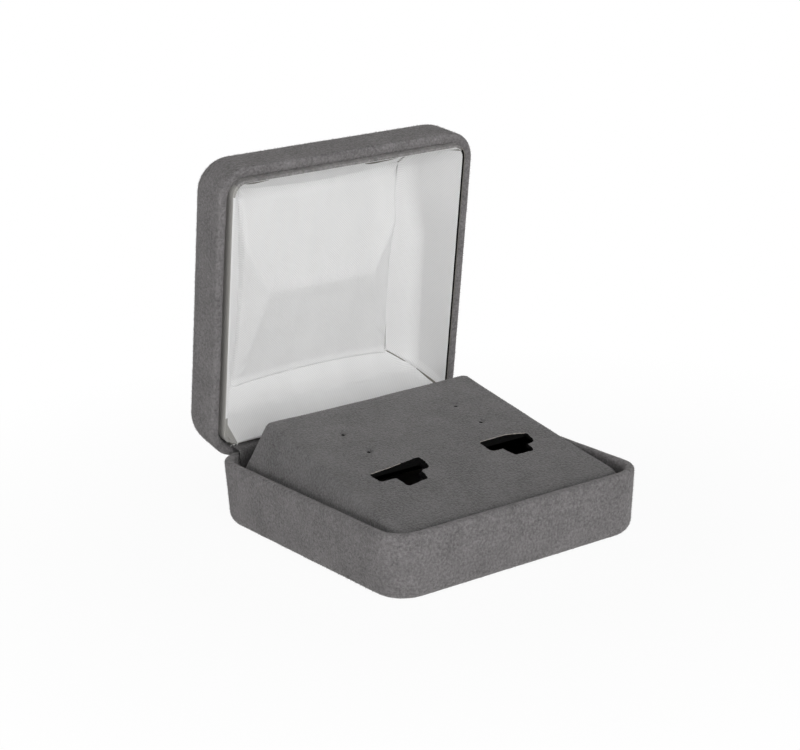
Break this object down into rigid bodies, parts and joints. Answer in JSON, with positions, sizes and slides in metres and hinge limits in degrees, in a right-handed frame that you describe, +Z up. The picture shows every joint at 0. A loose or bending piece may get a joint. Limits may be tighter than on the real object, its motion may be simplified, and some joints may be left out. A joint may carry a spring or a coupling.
{
  "type": "hinged jewellery gift box",
  "caption": "Hinged velour jewellery box with a satin-lined lid that snaps open and a sloping insert with T slots and post holes.",
  "frame": {"origin": "centre of the flat underside", "axes": "+X to the right along the front edge, +Y towards the hinge, +Z up"},
  "size_m": [0.07, 0.0841, 0.084],
  "materials": {
    "pressed_steel": "black lacquered sheet steel",
    "box_velour": "mid grey short-pile velour",
    "insert_velour": "grey short-pile velour",
    "strip_velour": "grey short-pile velour",
    "card": "white lined card",
    "hinge_steel": "zinc plated",
    "former": "thin vacuum-formed sheet",
    "wadding": "white wadding",
    "satin": "white satin"
  },
  "bodies": {
    "base": {"base_shell": "pressed_steel", "base_velour": "box_velour", "base_floor_card": "card", "base_hinge_leaf": "hinge_steel", "base_hinge_rivets": "hinge_steel", "hinge_pin": "hinge_steel", "hinge_spring": "hinge_steel", "hinge_strip": "strip_velour", "insert_former": "former", "insert_velour": "insert_velour"},
    "lid": {"lid_shell": "pressed_steel", "lid_velour": "box_velour", "lid_hinge_leaf": "hinge_steel", "lid_hinge_rivets": "hinge_steel", "lid_back_card": "card", "lid_wadding": "wadding", "lid_satin_panel": "satin", "lid_wall_card_left": "card", "lid_wall_card_right": "card", "lid_wall_card_front": "card", "lid_wall_card_rear": "card", "lid_wall_satin_left": "satin", "lid_wall_satin_right": "satin", "lid_wall_satin_front": "satin", "lid_wall_satin_rear": "satin"}
  },
  "joints": [
    {"name": "lid_hinge", "type": "hinge", "parent": "base", "child": "lid", "pos_m": [0, 0.0344, 0.0142], "axis": [1, 0, 0], "range_deg": [0, 81.2], "deforming": ["hinge_strip"]}
  ]
}
